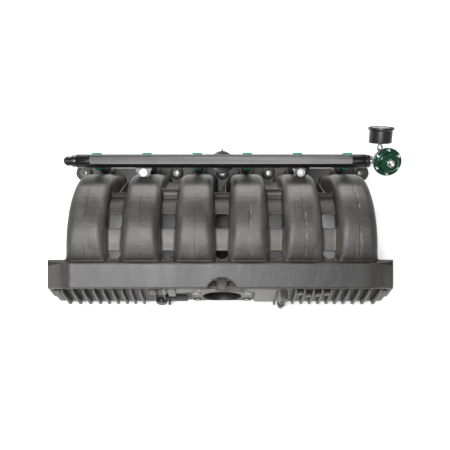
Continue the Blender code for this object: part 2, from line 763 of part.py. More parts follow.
def main():
    clear_scene()
    nylon = material("moulded_nylon", (0.035, 0.033, 0.031), 0.55, 0.0)
    black = material("black_anodised", (0.012, 0.012, 0.013), 0.3, 0.8)
    silver = material("silver_steel", (0.62, 0.62, 0.63), 0.3, 1.0)
    brass = material("brass", (0.55, 0.4, 0.18), 0.35, 1.0)
    teal = material("injector_green", (0.02, 0.28, 0.17), 0.4, 0.0)
    green = material("green_anodised", (0.01, 0.1, 0.05), 0.35, 0.7)
    rubber = material("diaphragm_rubber", (0.02, 0.02, 0.02), 0.7, 0.0)
    white = material("dial_white", (0.8, 0.8, 0.78), 0.5, 0.0)
    glass = material("gauge_glass", (0.9, 0.9, 0.9), 0.05, 0.0)
    red = material("needle_red", (0.5, 0.02, 0.02), 0.4, 0.0)
    make_shells(nylon)
    make_inserts(brass)
    make_flange(nylon, silver)
    make_runners(nylon)
    make_webs(nylon)
    make_rail(black, silver)
    make_brackets(silver, black)
    make_injectors(teal)
    make_damper(black)
    make_regulator(green, silver, black, rubber)
    make_gauge(black, silver, white, glass, red)
    make_small_parts(black, brass)
    for obj in MODEL.objects:
        if obj.type == "MESH":
            obj.data.shade_smooth()
            obj.data.set_sharp_from_angle(angle=math.radians(35))


main()
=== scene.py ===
import math

import bmesh
import bpy
from mathutils import Matrix, Vector


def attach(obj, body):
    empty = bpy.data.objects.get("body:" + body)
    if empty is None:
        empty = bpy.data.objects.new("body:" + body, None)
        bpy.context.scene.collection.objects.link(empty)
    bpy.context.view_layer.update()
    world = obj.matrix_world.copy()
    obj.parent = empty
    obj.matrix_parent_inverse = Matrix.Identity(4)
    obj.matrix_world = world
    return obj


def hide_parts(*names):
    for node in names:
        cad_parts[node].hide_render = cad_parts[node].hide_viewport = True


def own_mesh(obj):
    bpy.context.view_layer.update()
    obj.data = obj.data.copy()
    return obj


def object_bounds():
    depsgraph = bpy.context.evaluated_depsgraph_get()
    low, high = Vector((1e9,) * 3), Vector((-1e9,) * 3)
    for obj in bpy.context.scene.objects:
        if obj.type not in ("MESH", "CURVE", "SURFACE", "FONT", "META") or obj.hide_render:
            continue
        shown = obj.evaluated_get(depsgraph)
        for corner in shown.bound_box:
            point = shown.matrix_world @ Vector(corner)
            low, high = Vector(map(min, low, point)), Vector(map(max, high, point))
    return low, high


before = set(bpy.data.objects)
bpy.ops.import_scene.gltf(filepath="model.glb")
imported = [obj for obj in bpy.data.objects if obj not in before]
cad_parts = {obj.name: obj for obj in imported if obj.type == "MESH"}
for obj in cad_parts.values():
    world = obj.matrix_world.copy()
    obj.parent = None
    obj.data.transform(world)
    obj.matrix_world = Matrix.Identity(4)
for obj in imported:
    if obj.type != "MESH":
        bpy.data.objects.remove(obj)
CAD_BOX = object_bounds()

MM = 0.001
PITCH = 0.091  # between two cylinders
PORTS = [(i - 2.5) * PITCH for i in range(6)]
GAPS = [(i - 2.0) * PITCH for i in range(5)]
BOLTS = (-0.273, -0.091, 0, 0.091, 0.273)
BOLT_S = 0.028
TILT = math.radians(36)
BEND_R = 0.100
BEND_H = 0.080
SPLIT_Z = 0.062  # where the upper and lower shell meet
GROOVE_Y = -0.1990  # the runners end in the groove behind the face
WINDOWS_Y = -0.158  # between the two windows of a web
COMB_X = 0.115  # the combs of ribs begin here
LONG_X = 0.31  # past both ends of the plenum
BORE_R = 0.034
WALL = 0.0042
BRACKET_X = 0.1415
INJECTOR_X = 1.5 * PITCH
THROTTLE_Z = 0.0190
INSERTS = ((-0.044, -0.025), (-0.044, 0.025), (0.044, -0.025), (0.044, 0.025))
FLOOR_Z = -0.017
END_SHIFT = -0.0025  # of the plenum, off the centre
RAIL_S = 0.0492
RAIL_H = 0.1249
LEAN = math.radians(11.3)
REG_X = 0.290
REG_TILT = math.radians(46)
VOXEL = 0.0015
BLACK = (0.003, 0.003, 0.003)
SCENE = bpy.context.scene


# ---------------------------------------------------------------- frames
def turn(degrees, axis):
    return Matrix.Rotation(math.radians(degrees), 4, axis)


def move(x, y, z):
    return Matrix.Translation((x, y, z))


def flange(x, s, h):
    """The head flange's frame: Y up its slope, Z out of its face."""
    return Matrix.Rotation(TILT, 4, "X") @ move(x, s, h)


def flange_point(x, s, h):
    return flange(x, s, h).to_translation()


RAIL = flange_point(0, RAIL_S, RAIL_H)
BEND = flange_point(0, -BEND_R, BEND_H)


def along_y(x, y, z):
    return move(x, y, z) @ turn(90, "X")


def along_x(x, y, z):
    return move(x, y, z) @ turn(90, "Y")


def injector_frame(x):
    return flange(x, RAIL_S, RAIL_H) @ Matrix.Rotation(-LEAN, 4, "X")


THROTTLE = move(0, -0.2465, THROTTLE_Z) @ turn(99.5, "X")
ARCH = move(0, -0.2623, 0.0722) @ turn(30, "X")
REG = move(REG_X, RAIL.y, RAIL.z) @ Matrix.Rotation(REG_TILT, 4, "X") @ move(0, 0, 0.004)
GAUGE = REG @ move(-0.010, 0, -0.012) @ turn(-90, "X")


# ---------------------------------------------------------------- materials
class Nodes:
    """Short helpers for building a material's node tree."""

    def __init__(self, name):
        self.mat = bpy.data.materials.new(name)
        self.mat.use_nodes = True
        self.tree = self.mat.node_tree
        self.shader = self.tree.nodes["Principled BSDF"]
        coords = self.tree.nodes.new("ShaderNodeTexCoord")
        self.place = coords.outputs["Object"]

    def link(self, a, b):
        self.tree.links.new(a, b)

    def feed(self, socket, value):
        if isinstance(value, (int, float, tuple)):
            socket.default_value = value
        else:
            self.link(value, socket)

    def mapping(self, scale):
        node = self.tree.nodes.new("ShaderNodeMapping")
        self.link(self.place, node.inputs["Vector"])
        node.inputs["Scale"].default_value = scale
        return node.outputs["Vector"]

    def noise(self, scale, detail=4.0, rough=0.55, stretch=None, distortion=0.0):
        node = self.tree.nodes.new("ShaderNodeTexNoise")
        self.link(self.mapping(stretch) if stretch else self.place, node.inputs["Vector"])
        node.inputs["Scale"].default_value = scale
        node.inputs["Detail"].default_value = detail
        node.inputs["Roughness"].default_value = rough
        node.inputs["Distortion"].default_value = distortion
        return node.outputs["Fac"]

    def ramp(self, value, stops):
        node = self.tree.nodes.new("ShaderNodeValToRGB")
        self.link(value, node.inputs["Fac"])
        ramp = node.color_ramp
        while len(ramp.elements) < len(stops):
            ramp.elements.new(0.5)
        for element, (at, colour) in zip(ramp.elements, stops):
            element.position = at
            grey = isinstance(colour, (int, float))
            element.color = (colour, colour, colour, 1) if grey else (*colour, 1)
        return node.outputs["Color"]

    def math(self, kind, a, b=0.0, clamp=False):
        node = self.tree.nodes.new("ShaderNodeMath")
        node.operation = kind
        node.use_clamp = clamp
        self.feed(node.inputs[0], a)
        self.feed(node.inputs[1], b)
        return node.outputs[0]

    def above(self, value, limit):
        return self.math("GREATER_THAN", value, limit)

    def below(self, value, limit):
        return self.math("LESS_THAN", value, limit)

    def all_of(self, first, *masks):
        for mask in masks:
            first = self.math("MULTIPLY", first, mask)
        return first

    def any_of(self, first, *masks):
        for mask in masks:
            first = self.math("MAXIMUM", first, mask)
        return first

    def blotches(self, patch, colour, low, high):
        """The colour varied between two factors by a noise."""
        share = self.ramp(patch, [(0.3, 0.0), (0.7, 1.0)])
        return self.mix(share, shade(colour, low), shade(colour, high))

    def mix(self, factor, a, b):
        node = self.tree.nodes.new("ShaderNodeMix")
        node.data_type = "RGBA"
        self.feed(node.inputs["Factor"], factor)
        self.feed(node.inputs[6], (*a, 1) if isinstance(a, tuple) else a)
        self.feed(node.inputs[7], (*b, 1) if isinstance(b, tuple) else b)
        return node.outputs[2]

    def axes(self):
        node = self.tree.nodes.new("ShaderNodeSeparateXYZ")
        self.link(self.place, node.inputs[0])
        return node.outputs

    def edges(self):
        """Near 1 on convex edges, near 0 in creases."""
        node = self.tree.nodes.new("ShaderNodeNewGeometry")
        return node.outputs["Pointiness"]

    def bump(self, height, strength, distance, under=None):
        node = self.tree.nodes.new("ShaderNodeBump")
        self.link(height, node.inputs["Height"])
        node.inputs["Strength"].default_value = strength
        node.inputs["Distance"].default_value = distance
        if under is not None:
            self.link(under, node.inputs["Normal"])
        return node.outputs["Normal"]

    def finish(self, colour, roughness, normal=None, metallic=0.0, **more):
        self.feed(self.shader.inputs["Base Color"], colour)
        self.feed(self.shader.inputs["Roughness"], roughness)
        self.shader.inputs["Metallic"].default_value = metallic
        if normal is not None:
            self.link(normal, self.shader.inputs["Normal"])
        for key, value in more.items():
            self.shader.inputs[key.replace("_", " ")].default_value = value
        return self.mat


def shade(colour, factor, lift=0.0):
    return tuple(min(1.0, c * factor + lift) for c in colour)


def front_wall(n, base, speck):
    """The plenum's front: painted highlights on its ledges, panels and boss, painted shade in the
    throat, pocket, bore and rib gaps, and painted highlights on the rib edges.
    """
    x, y, z = n.axes()
    side = n.math("ABSOLUTE", x)
    middle = n.below(side, COMB_X - 0.015)
    # Painted highlight: the ledges, panels and boss are painted paler where they catch the lamp
    # and the white floor.
    lit_ledge = n.all_of(middle, n.above(z, 0.0350))
    panel = n.all_of(middle, n.above(x, 0.0520))
    boss = n.all_of(n.below(y, -0.2462), n.below(side, 0.0530), 0.35)
    lit_ledge = n.all_of(n.any_of(lit_ledge, panel, boss), n.above(side, 0.0380), 0.8)
    ledge_highlight = n.ramp(speck, [(0.3, (0.12, 0.12, 0.12)), (0.7, (0.20, 0.195, 0.19))])
    base = n.mix(lit_ledge, base, ledge_highlight)
    # Painted shade: the throat recess, the side pocket and the bore are painted black as if in
    # shadow.
    throat = n.all_of(n.below(side, 0.0640), n.above(y, -0.2440), n.below(z, 0.0500))
    pocket = n.all_of(n.below(x, -0.0470), n.above(x, -0.1000), n.below(z, 0.0350))
    pocket = n.all_of(pocket, n.above(y, -0.2472))
    rise = n.math("SUBTRACT", z, THROTTLE_Z)
    squares = n.math("ADD", n.math("MULTIPLY", x, x), n.math("MULTIPLY", rise, rise))
    bore = n.below(n.math("SQRT", squares), BORE_R + 0.0003)
    base = n.mix(n.all_of(n.any_of(throat, pocket, bore), 0.93), base, BLACK)
    # Painted shade on the wall between the ribs.
    comb = n.all_of(n.above(side, COMB_X), n.below(z, 0.0590))
    rib_gap_shade = n.all_of(comb, n.above(y, -0.2475), 0.85)
    base = n.mix(rib_gap_shade, base, (0.004, 0.004, 0.004))
    # Painted highlight on the ribs' outer edges.
    lit_fin_edges = n.all_of(comb, n.below(y, -0.2490), 0.45)
    return n.mix(lit_fin_edges, base, (0.110, 0.107, 0.104))


def runners_and_face(n, base, dark, wear_and_highlight):
    """The top: a seam and a line of wear over each runner, painted light on the lower webs and
    painted shade on the upper webs, painted shade in the groove, painted light falling to painted
    shade across the face, and painted shade in the throat under the middle web.
    """
    x, y, z = n.axes()
    centred = n.math("SUBTRACT", n.math("FRACT", n.math("DIVIDE", x, PITCH)), 0.5)
    wander = n.math("MULTIPLY", n.math("SUBTRACT", n.noise(14, 3), 0.5), 0.06)
    line = n.math("ADD", centred, wander)
    across = n.math("ADD", x, 0.5)
    along = n.all_of(n.above(y, -0.2050), n.below(y, -0.075))
    broken = n.ramp(n.noise(30, 3), [(0.40, 0.0), (0.58, 0.9)])
    seam = n.all_of(along, n.below(n.math("ABSOLUTE", line), 0.011), broken)
    base = n.mix(seam, base, shade(dark, 0.25))
    beside = n.math("ABSOLUTE", n.math("SUBTRACT", line, 0.030))
    spots = n.ramp(n.noise(90, 3), [(0.52, 0.0), (0.62, 0.8)])
    growing = n.ramp(across, [(0.44, 0.12), (0.62, 0.55)])
    base = n.mix(n.all_of(along, n.below(beside, 0.020), growing, spots), base, shade(wear_and_highlight, 1.8))
    # Painted shade where the runners fall into the groove behind the face.
    fall = n.math("DIVIDE", n.math("SUBTRACT", GROOVE_Y, y), 0.012, True)
    groove = n.all_of(fall, n.above(y, -0.2165), 0.85)
    base = n.mix(groove, base, (0.008, 0.0068, 0.0056))
    # Painted light on the lower part of the webs and painted shade on their upper part, between
    # the runners.
    between = n.all_of(n.above(n.math("ABSOLUTE", centred), 0.345), n.above(y, GROOVE_Y))
    lit_low_web = n.all_of(between, n.below(y, WINDOWS_Y), 0.55)
    base = n.mix(lit_low_web, base, (0.098, 0.090, 0.080))
    shaded_high_web = n.all_of(between, n.above(y, WINDOWS_Y), 0.45)
    base = n.mix(shaded_high_web, base, shade(dark, 0.4))
    # Painted light across the sloping face: lighter at the left, falling to painted shade at the
    # right.
    inner = n.below(n.math("ABSOLUTE", n.math("SUBTRACT", x, END_SHIFT)), 0.2480)
    inner = n.math("ADD", n.math("MULTIPLY", inner, 0.62), 0.08)
    face_light_falloff = [(0.25, (0.061, 0.059, 0.063)), (0.52, (0.033, 0.032, 0.034)), (0.76, (0.006,) * 3)]
    base = n.mix(n.all_of(n.below(y, -0.2172), inner), base, n.ramp(across, face_light_falloff))
    # Painted shade: black under the middle web, where it lies in shadow.
    middle_shade = n.all_of(n.below(n.math("ABSOLUTE", x), 0.0200), n.below(z, 0.0760))
    middle_shade = n.all_of(middle_shade, n.below(y, -0.1400), n.above(y, -0.2080), 0.92)
    return n.mix(middle_shade, base, BLACK)


def nylon(name, dark, light, lower=False):
    """Rough moulded glass-filled nylon: cloudy, streaked and speckled, with a painted highlight on
    its convex edges and painted shade in its creases.
    """
    n = Nodes(name)
    cloud = n.noise(16, 6, 0.6)
    streak = n.noise(30, 5, 0.6, stretch=(1.0, 0.28, 0.4), distortion=0.6)
    speck = n.noise(420, 3, 0.7)
    grain = n.noise(1500, 2, 0.6)
    edges = n.edges()
    wear_and_highlight = shade(light, 1.7, 0.012)
    base = n.mix(n.ramp(cloud, [(0.38, 0.0), (0.62, 1.0)]), dark, light)
    base = n.mix(n.ramp(streak, [(0.50, 0.0), (0.70, 0.65)]), base, wear_and_highlight)
    base = n.mix(n.ramp(speck, [(0.60, 0.0), (0.70, 0.9)]), base, wear_and_highlight)
    base = n.mix(n.ramp(speck, [(0.25, 0.6), (0.34, 0.0)]), base, shade(dark, 0.45))
    # Painted highlight on convex edges, then painted shade in creases.
    base = n.mix(n.ramp(edges, [(0.53, 0.0), (0.62, 0.30 if lower else 0.55)]), base, wear_and_highlight)
    base = n.mix(n.ramp(edges, [(0.42, 0.9), (0.494, 0.0)]), base, shade(dark, 0.3))
    if lower:
        base = front_wall(n, base, speck)
    else:
        base = runners_and_face(n, base, dark, wear_and_highlight)
    rough = n.ramp(streak, [(0.25, 0.38), (0.75, 0.54)])
    height = n.math("ADD", n.math("MULTIPLY", grain, 0.5), n.math("MULTIPLY", speck, 0.9))
    normal = n.bump(n.noise(55, 4), 0.35, 0.0016)
    normal = n.bump(height, 0.42, 0.0006, normal)
    return n.finish(base, rough, normal, Specular_IOR_Level=0.55)


def metal(name, colour, roughness, brushed=None, bump=0.08, variation=0.12):
    """Machined or plated metal with faint tool marks."""
    n = Nodes(name)
    marks = n.noise(260, 4, 0.6, stretch=brushed)
    base = n.blotches(n.noise(40, 3), colour, 1 - variation, 1 + variation)
    rough = n.ramp(marks, [(0.3, max(0.04, roughness - 0.06)), (0.7, roughness + 0.08)])
    return n.finish(base, rough, n.bump(marks, bump, 0.0003), 1.0)


def anodised(name, colour, roughness):
    """Dyed anodising: a dark metal under a thin satin film, with a painted highlight on its edges.
    """
    n = Nodes(name)
    marks = n.noise(300, 4, 0.6)
    base = n.blotches(marks, colour, 0.8, 1.0)
    # Painted highlight along the convex edges.
    edge_highlight = n.ramp(n.edges(), [(0.53, 0.0), (0.64, 0.5)])
    base = n.mix(edge_highlight, base, shade(colour, 2.2, 0.06))
    rough = n.ramp(marks, [(0.3, roughness - 0.04), (0.7, roughness + 0.08)])
    normal = n.bump(marks, 0.06, 0.0003)
    return n.finish(base, rough, normal, 0.55, Coat_Weight=0.25, Coat_Roughness=0.25)


def plastic(name, colour, roughness, grain=700, strength=0.12, **more):
    """Smooth plastic, paint or rubber with a fine grain."""
    n = Nodes(name)
    fine = n.noise(grain, 3)
    base = n.blotches(n.noise(30, 4), colour, 0.8, 1.2)
    rough = n.ramp(fine, [(0.3, roughness - 0.05), (0.7, roughness + 0.07)])
    return n.finish(base, rough, n.bump(fine, strength, 0.0003), **more)


def clear(name):
    """The gauge's window, lightly smeared."""
    n = Nodes(name)
    rough = n.ramp(n.noise(60, 2), [(0.3, 0.02), (0.7, 0.07)])
    return n.finish((0.95, 0.96, 0.95, 1.0), rough, Transmission_Weight=0.95, Alpha=0.35)


MATS = {
    "nylon": nylon("nylon_upper", (0.026, 0.0245, 0.023), (0.048, 0.0455, 0.043)),
    "nylon_low": nylon("nylon_lower", (0.026, 0.0245, 0.023), (0.050, 0.047, 0.044), lower=True),
    "rail": plastic(
        "black_anodised_rail", (0.006, 0.006, 0.006), 0.30, 500, 0.04, Specular_IOR_Level=0.22
    ),
    "flat": metal("milled_black_flat", (0.075, 0.072, 0.074), 0.42, (0.01, 1.0, 1.0), 0.06, 0.06),
    "black": anodised("black_anodised_fitting", (0.014, 0.014, 0.015), 0.22),
    "silver": metal("bright_zinc", (0.72, 0.72, 0.73), 0.22),
    "bolt": metal("bolt_zinc", (0.36, 0.36, 0.37), 0.40),
    "sleeve": metal("sleeve_steel", (0.10, 0.10, 0.10), 0.35),
    "bracket": plastic("bracket_grey", (0.15, 0.15, 0.17), 0.45, 500, 0.05),
    "brass": metal("insert_brass", (0.60, 0.45, 0.22), 0.32),
    "teal": plastic("injector_teal", (0.012, 0.25, 0.165), 0.36),
    "seal": plastic("seal_rubber", (0.012, 0.012, 0.012), 0.55),
    "green": anodised("green_anodised", (0.009, 0.062, 0.030), 0.16),
    "case": plastic("gauge_black", (0.013, 0.013, 0.014), 0.30),
    "dial": plastic("dial_white", (0.78, 0.78, 0.75), 0.5, 900, 0.04),
    "ink": plastic("dial_ink", (0.02, 0.02, 0.02), 0.5),
    "needle": plastic("needle_red", (0.55, 0.03, 0.02), 0.4),
    "glass": clear("gauge_glass"),
    "rubber": plastic("diaphragm_rubber", (0.02, 0.02, 0.02), 0.6),
}


# ---------------------------------------------------------------- mesh helpers
def add(name, mesh, mat, body="manifold", replaces=(), angle=35):
    """A finished visual piece that rides on a body."""
    obj = bpy.data.objects.new(name, mesh)
    SCENE.collection.objects.link(obj)
    mesh.materials.clear()
    for m in mat if isinstance(mat, list) else [mat]:
        mesh.materials.append(MATS[m])
    mesh.shade_smooth()
    mesh.set_sharp_from_angle(angle=math.radians(angle))
    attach(obj, body)
    if replaces:
        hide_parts(*replaces)
    return obj


def mesh_from(bm, recalculate=True):
    if recalculate:
        bmesh.ops.recalc_face_normals(bm, faces=bm.faces)
    mesh = bpy.data.meshes.new("m")
    bm.to_mesh(mesh)
    bm.free()
    return mesh


def evaluated(mesh, *mods):
    """The mesh after modifiers, each given as (type, settings)."""
    obj = bpy.data.objects.new("work", mesh)
    SCENE.collection.objects.link(obj)
    helpers = []
    for kind, settings in mods:
        mod = obj.modifiers.new(kind, kind)
        for key, value in settings.items():
            if key == "cutter":
                helper = bpy.data.objects.new("cutter", value)
                SCENE.collection.objects.link(helper)
                helpers.append(helper)
                mod.object = helper
            else:
                setattr(mod, key, value)
    bpy.context.view_layer.update()
    graph = bpy.context.evaluated_depsgraph_get()
    result = bpy.data.meshes.new_from_object(obj.evaluated_get(graph))
    for helper in helpers + [obj]:
        bpy.data.objects.remove(helper, do_unlink=True)
    return result


def combine(kind, mesh, *others, **more):
    """The mesh after a boolean with each of the others in turn."""
    mods = [("BOOLEAN", {"operation": kind, "cutter": other, **more}) for other in others]
    return evaluated(mesh, *mods)


def cut(mesh, *cutters, **more):
    return combine("DIFFERENCE", mesh, *cutters, **more)


def rounded(mesh, width, segments=3, angle=30):
    settings = {"width": width, "segments": segments, "limit_method": "ANGLE"}
    settings["angle_limit"] = math.radians(angle)
    return evaluated(mesh, ("BEVEL", settings))


def joined(meshes):
    bm = bmesh.new()
    for mesh in meshes:
        bm.from_mesh(mesh)
    return mesh_from(bm, False)


def box(low, high, matrix=None):
    bm = bmesh.new()
    low, high = Vector(low), Vector(high)
    fit = Matrix.Translation((low + high) / 2) @ Matrix.Diagonal((*(high - low), 1.0))
    bmesh.ops.create_cube(bm, size=1.0, matrix=fit)
    if matrix is not None:
        bm.transform(matrix)
    return mesh_from(bm)


def cylinder(radius, depth, matrix, sides=48):
    bm = bmesh.new()
    size = {"radius1": radius, "radius2": radius, "depth": depth}
    bmesh.ops.create_cone(bm, cap_ends=True, segments=sides, matrix=matrix, **size)
    return mesh_from(bm)


def outline(points, thick, matrix=None):
    """A flat polygon in XY thickened equally along Z."""
    bm = bmesh.new()
    verts = [bm.verts.new((x, y, -thick / 2)) for x, y in points]
    face = bm.faces.new(verts)
    grown = bmesh.ops.extrude_face_region(bm, geom=[face])
    up = [v for v in grown["geom"] if isinstance(v, bmesh.types.BMVert)]
    bmesh.ops.translate(bm, verts=up, vec=(0, 0, thick))
    if matrix is not None:
        bm.transform(matrix)
    return mesh_from(bm)


def yz_prism(points, x0, x1):
    turned = Matrix(((0, 0, 1, (x0 + x1) / 2), (1, 0, 0, 0), (0, 1, 0, 0), (0, 0, 0, 1)))
    return outline(points, x1 - x0, turned)


def loft(rings, capped=True):
    """A skin over rings of points, capped at both ends or led round to the first ring."""
    bm = bmesh.new()
    made = [[bm.verts.new(p) for p in ring] for ring in rings]
    follow = made if capped else made + made[:1]
    for one, two in zip(follow, follow[1:]):
        for i in range(len(one)):
            j = (i + 1) % len(one)
            bm.faces.new((one[i], one[j], two[j], two[i]))
    if capped:
        bm.faces.new(made[0][::-1])
        bm.faces.new(made[-1])
    return mesh_from(bm)


def soften(profile, r, steps=3):
    """Rounds the inner corners of an open profile."""
    out = [profile[0]]
    for a, b, c in zip(profile, profile[1:], profile[2:]):
        a, b, c = Vector(a), Vector(b), Vector(c)
        u, v = a - b, c - b
        reach = min(r, u.length * 0.45, v.length * 0.45)
        if reach < 1e-5:
            out.append(tuple(b))
            continue
        p, q = b + u.normalized() * reach, b + v.normalized() * reach
        for k in range(steps + 1):
            t = k / steps
            out.append(tuple(p.lerp(b, t).lerp(b.lerp(q, t), t)))
    out.append(profile[-1])
    return out


def lathe(profile, matrix, r=0.0004, steps=56):
    """A solid of revolution about Z from (radius, height) points; a closed loop stays hollow."""
    hollow = profile[0] == profile[-1]
    points = soften(profile, r)
    if hollow:
        points = points[:-1]
    bm = bmesh.new()
    columns = []
    for k in range(steps):
        angle = 2 * math.pi * k / steps
        c, s = math.cos(angle), math.sin(angle)
        columns.append([bm.verts.new((p[0] * c, p[0] * s, p[1])) for p in points])
    count = len(points)
    for k in range(steps):
        one, two = columns[k], columns[(k + 1) % steps]
        for i in range(count if hollow else count - 1):
            j = (i + 1) % count
            bm.faces.new((one[i], two[i], two[j], one[j]))
    bmesh.ops.remove_doubles(bm, verts=bm.verts, dist=1e-6)
    bm.transform(matrix)
    return mesh_from(bm)


def rounded_rectangle(a, b, r, per_corner=7):
    points = []
    for cx, cy, start in ((1, 1, 0), (-1, 1, 90), (-1, -1, 180), (1, -1, 270)):
        for k in range(per_corner):
            t = math.radians(start + 90.0 * k / (per_corner - 1))
            x = cx * (a - r) + r * math.cos(t)
            points.append((x, cy * (b - r) + r * math.sin(t)))
    return points


# ---------------------------------------------------------------- moulding
# Runners, webs, head flange and plenum top, fused into one skin.
def smooth_between(stations, count):
    """Stations resampled with a Catmull-Rom curve through each value."""
    out = []
    last = len(stations) - 1
    for k in range(count + 1):
        t = last * k / count
        i = min(int(t), last - 1)
        f = t - i
        row = []
        for a, b, c, d in zip(*[stations[max(0, min(last, i + j))] for j in (-1, 0, 1, 2)]):
            square = (2 * a - 5 * b + 4 * c - d) * f * f
            cube = (3 * b - a - 3 * c + d) * f * f * f
            row.append(0.5 * (2 * b + (c - a) * f + square + cube))
        out.append(row)
    return out


def bend_point(radius, degrees):
    """(y, z) on a circle round the runners' centre of bending."""
    angle = TILT + math.radians(degrees)
    return BEND.y + radius * math.cos(angle), BEND.z + radius * math.sin(angle)


def runner_stations():
    """Centre y, z, direction, half width, half height and corner radius, in mm and degrees."""
    straight = ((2, 30.5, 20, 9), (22, 30, 21, 11), (44, 29.8, 22.5, 12), (66, 30.3, 24.5, 12.5))
    bent = ((2, 30.5, 25.5, 13), (16, 30.5, 26, 13), (32, 31.2, 26, 14.5))
    bent += ((50, 32.2, 26, 16.5), (68, 32.8, 25, 16.5), (82, 33.6, 22.5, 15))
    rows = []
    for h, a, b, r in straight:
        p = flange_point(0, 0, h * MM)
        rows.append((p.y * 1000, p.z * 1000, 126.0, a, b, r))
    for degrees, a, b, r in bent:
        y, z = bend_point(BEND_R, degrees)
        rows.append((y * 1000, z * 1000, 126.0 + degrees, a, b, r))
    rows.append((-196.5, 82.0, 206.0, 35.0, 17.5, 14.0))
    rows.append((-208.5, 74.5, 196.0, 37.5, 13.5, 10.0))
    return rows


def runner_tube(x, wall):
    outer, inner = [], []
    for y, z, degrees, a, b, r in smooth_between(runner_stations(), 44):
        angle = math.radians(degrees)
        up = Vector((0, math.sin(angle), -math.cos(angle)))
        centre = Vector((x, y * MM, z * MM))
        for side, grow in ((outer, 0.0), (inner, -wall)):
            half_a, half_b = a * MM + grow, b * MM + grow
            radius = max(0.002, min(r * MM + grow, half_b - 0.0004))
            section = rounded_rectangle(half_a, half_b, radius)
            side.append([centre + Vector((px, 0, 0)) + up * ph for px, ph in section])
    return loft(outer + inner[::-1], capped=False)


def web(x, k):
    """The floor between two runners, with its two windows, top roll and, at the middle, a rib;
    under the middle web's windows an arc and a plate stand in for the shade seen through them.
    """
    tall = k in (1, 3)
    sweep = range(28, 87, 4)
    outer = [bend_point(BEND_R + 0.002, degrees) for degrees in sweep]
    inner = [bend_point(BEND_R - 0.0025, degrees) for degrees in sweep]
    outer += [(-0.1995, 0.0870), (-0.207, 0.0850)]
    inner += [(-0.1995, 0.0820), (-0.207, 0.0800)]
    plate = yz_prism(outer + inner[::-1], x - 0.0175, x + 0.0175)
    slope = move(x, -0.1425, 0.105) @ turn(14, "X")
    upper_window = outline(rounded_rectangle(0.0105, 0.0130, 0.004, 5), 0.05, slope)
    d_shape = [(0.0105, 0.0055), (-0.0105, 0.0055)]
    for j in range(13):
        t = math.radians(180 + 15 * j)
        d_shape.append((0.0105 * math.cos(t), 0.001 + 0.0085 * math.sin(t)))
    lower_window = outline(d_shape, 0.06, move(x, -0.1965, 0.086) @ turn(22, "X"))
    parts = [cut(plate, upper_window, lower_window)]
    y, z = bend_point(BEND_R + (0.004 if tall else -0.001), 29)
    roll = 0.0095 if tall else 0.0068
    parts.append(cylinder(roll, 0.036, along_x(x, y, z), 32))
    low = flange_point(0, 4 * MM, 70 * MM)
    fin = [(y, z), (y - 0.004, z - 0.010), (low.y, low.z - 0.03)]
    fin += [(low.y + 0.030, low.z - 0.055), (low.y + 0.030, low.z - 0.03)]
    if tall:
        parts.append(yz_prism(fin, x - 0.017, x + 0.017))
    else:
        middle = x + (-0.006 if x < -0.01 else 0.006)
        parts.append(yz_prism(fin, middle - 0.0016, middle + 0.0016))
    # Dark stand-ins for shade: an arc and a plate that darken what is seen through the middle
    # web's windows.
    if k == 2:
        shade_arc = [bend_point(BEND_R - 0.024, degrees) for degrees in range(30, 75, 6)]
        shade_arc += [bend_point(BEND_R - 0.028, degrees) for degrees in range(72, 29, -6)]
        parts.append(yz_prism(shade_arc, x - 0.020, x + 0.020))
        parts.append(box((x - 0.026, -0.1950, 0.0300), (x + 0.026, -0.1450, 0.0340)))
    return joined(parts)


def flange_plate():
    """The head flange with ears, bolt pads, port rims and injector sockets."""
    half = [(250, -28), (256, -24), (262, -10), (276, 8), (288, 16), (292.2, 22), (293, 28)]
    half += [(291.5, 35), (286, 42), (278, 46.5), (270, 47), (262, 44), (252, 39)]
    half += [(208, 37.6), (154, 37.6), (148, 42)]
    points = [(x * MM, s * MM) for x, s in half]
    plate = outline(points + [(-x, s) for x, s in reversed(points)], 0.014, move(0, 0, 0.007))
    added, cutters = [], []
    for x in BOLTS:
        radius = 0.0125 if abs(x) > 0.2 else 0.0105
        added.append(cylinder(radius, 0.021, move(x, BOLT_S, 0.0142), 40))
    inverse = flange(0, 0, 0).inverted()
    for x in PORTS:
        seat = inverse @ injector_frame(x)
        added.append(cylinder(0.0125, 0.029, seat @ move(0, 0, -0.101), 40))
        added.append(outline(rounded_rectangle(0.034, 0.024, 0.012), 0.010, move(x, 0, 0.017)))
        port = rounded_rectangle(0.0268, 0.0163, 0.006)
        cutters.append(outline(port, 0.1, move(x, 0, 0.02)))
        cutters.append(cylinder(0.0074, 0.017, seat @ move(0, 0, -0.0925), 32))
    for x in BOLTS:
        cutters.append(cylinder(0.0059, 0.08, move(x, BOLT_S, 0.015), 32))
    solid = cut(combine("UNION", plate, *added), joined(cutters), use_self=True)
    solid.transform(flange(0, 0, 0))
    return solid


def end_outline(half):
    """Both ends of the plenum from (x, z) points in mm; the left end reaches a little further."""
    right = [(x * MM + END_SHIFT, z * MM) for x, z in half]
    return right + [(END_SHIFT - x * MM, z * MM) for x, z in reversed(half)]


def face_prism(half):
    """An end outline measured up from the plenum's sloping face and run along the slope."""
    return outline(end_outline(half), 0.6, turn(120, "X"))


